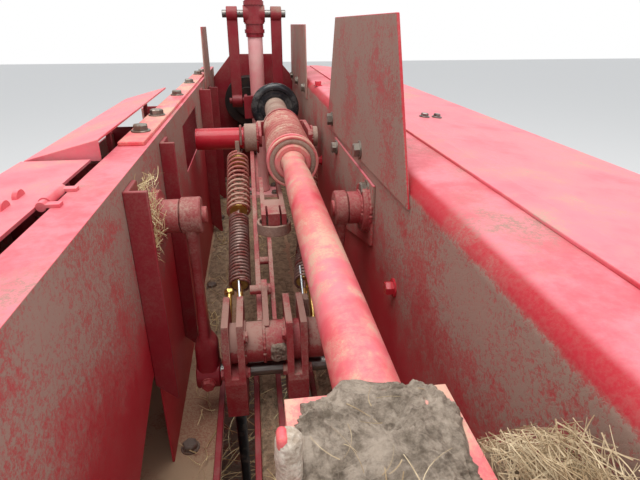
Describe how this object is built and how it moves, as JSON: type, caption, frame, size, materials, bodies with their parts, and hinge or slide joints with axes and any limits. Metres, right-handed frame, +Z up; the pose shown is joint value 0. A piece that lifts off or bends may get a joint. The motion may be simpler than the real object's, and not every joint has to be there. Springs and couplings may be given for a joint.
{
  "type": "baler cross-feed unit",
  "caption": "Cross-feed unit of a square baler: open trough over a slotted crop channel, with a swinging spring-loaded feeder bar and tines.",
  "frame": {"origin": "centre of the footprint on the floor, under the base bearers", "axes": "+X to the right cover seen from the near end, +Y along the trough from the near end to the bale chamber outlet, +Z up"},
  "size_m": [0.8, 1.75, 0.929],
  "materials": {
    "red_paint": "satin",
    "faded_red": "satin",
    "dark_red": "satin",
    "worn_steel": "satin",
    "dusty_steel": "matte",
    "spring_steel": "satin",
    "zinc": "satin",
    "black_paint": "gloss"
  },
  "bodies": {
    "channel": {"bearers": "red_paint", "base_rails": "red_paint", "floor_pan": "worn_steel", "channel_side": "red_paint", "channel_posts": "red_paint", "near_end": "red_paint", "outlet_flange": "red_paint", "deck": "red_paint", "slot_strips": "worn_steel", "slot_rails": "red_paint", "left_wall": "red_paint", "left_stiffeners": "dark_red", "flange_strap": "red_paint", "right_wall": "red_paint", "right_cover": "faded_red", "right_struts": "dark_red", "guard_near_right": "faded_red", "guard_far_right": "faded_red", "guard_far_left": "faded_red", "patch_plate": "red_paint", "front_pivots": "red_paint", "rear_post": "red_paint", "post_head": "dark_red", "bulkhead": "red_paint", "drive_case": "black_paint", "side_brackets": "dark_red", "side_panel": "red_paint", "side_tray": "red_paint", "left_cover": "faded_red", "lid_hinges": "red_paint"},
    "lid": {"side_lid": "faded_red"},
    "front_rocker": {"front_levers": "red_paint", "lower_shaft": "worn_steel"},
    "rear_rocker": {"rear_arms": "dark_red", "rear_shaft": "worn_steel"},
    "carriage": {"lower_cross_tube": "red_paint", "tine_clamps": "red_paint", "inner_tines": "black_paint", "feeder_bar": "faded_red", "near_bracket": "red_paint", "outer_tines": "black_paint", "spring_seat": "dusty_steel", "overload_spring": "spring_steel", "spring_yoke": "red_paint", "sleeve": "dusty_steel", "buffer_ring": "black_paint", "rear_yoke": "red_paint", "yoke_hubs": "dusty_steel", "upper_cross_tube": "red_paint", "carriage_plate": "red_paint", "centre_links": "red_paint", "link_collar": "dusty_steel", "spring_hooks": "red_paint", "upper_tension_springs": "spring_steel", "lower_tension_springs": "spring_steel", "spring_links": "zinc"}
  },
  "joints": [
    {"name": "lid_hinge", "type": "hinge", "parent": "channel", "child": "lid", "pos_m": [-0.172, -0.58, 0.733], "axis": [0, 1, 0], "range_deg": [0, 100]},
    {"name": "feeder_swing", "type": "hinge", "parent": "channel", "child": "front_rocker", "pos_m": [0, -0.304, 0.652], "axis": [1, 0, 0], "range_deg": [-20, 20]},
    {"name": "carriage_level", "type": "hinge", "parent": "front_rocker", "child": "carriage", "pos_m": [0, -0.304, 0.417], "axis": [1, 0, 0], "range_deg": [-20, 20]},
    {"name": "rear_swing", "type": "hinge", "parent": "channel", "child": "rear_rocker", "pos_m": [0, 0.645, 0.887], "axis": [1, 0, 0], "range_deg": [-20, 20]}
  ],
  "couplings": [
    {"joint": "carriage_level", "follows": "feeder_swing", "ratio": -1},
    {"joint": "rear_swing", "follows": "feeder_swing", "ratio": 1}
  ]
}
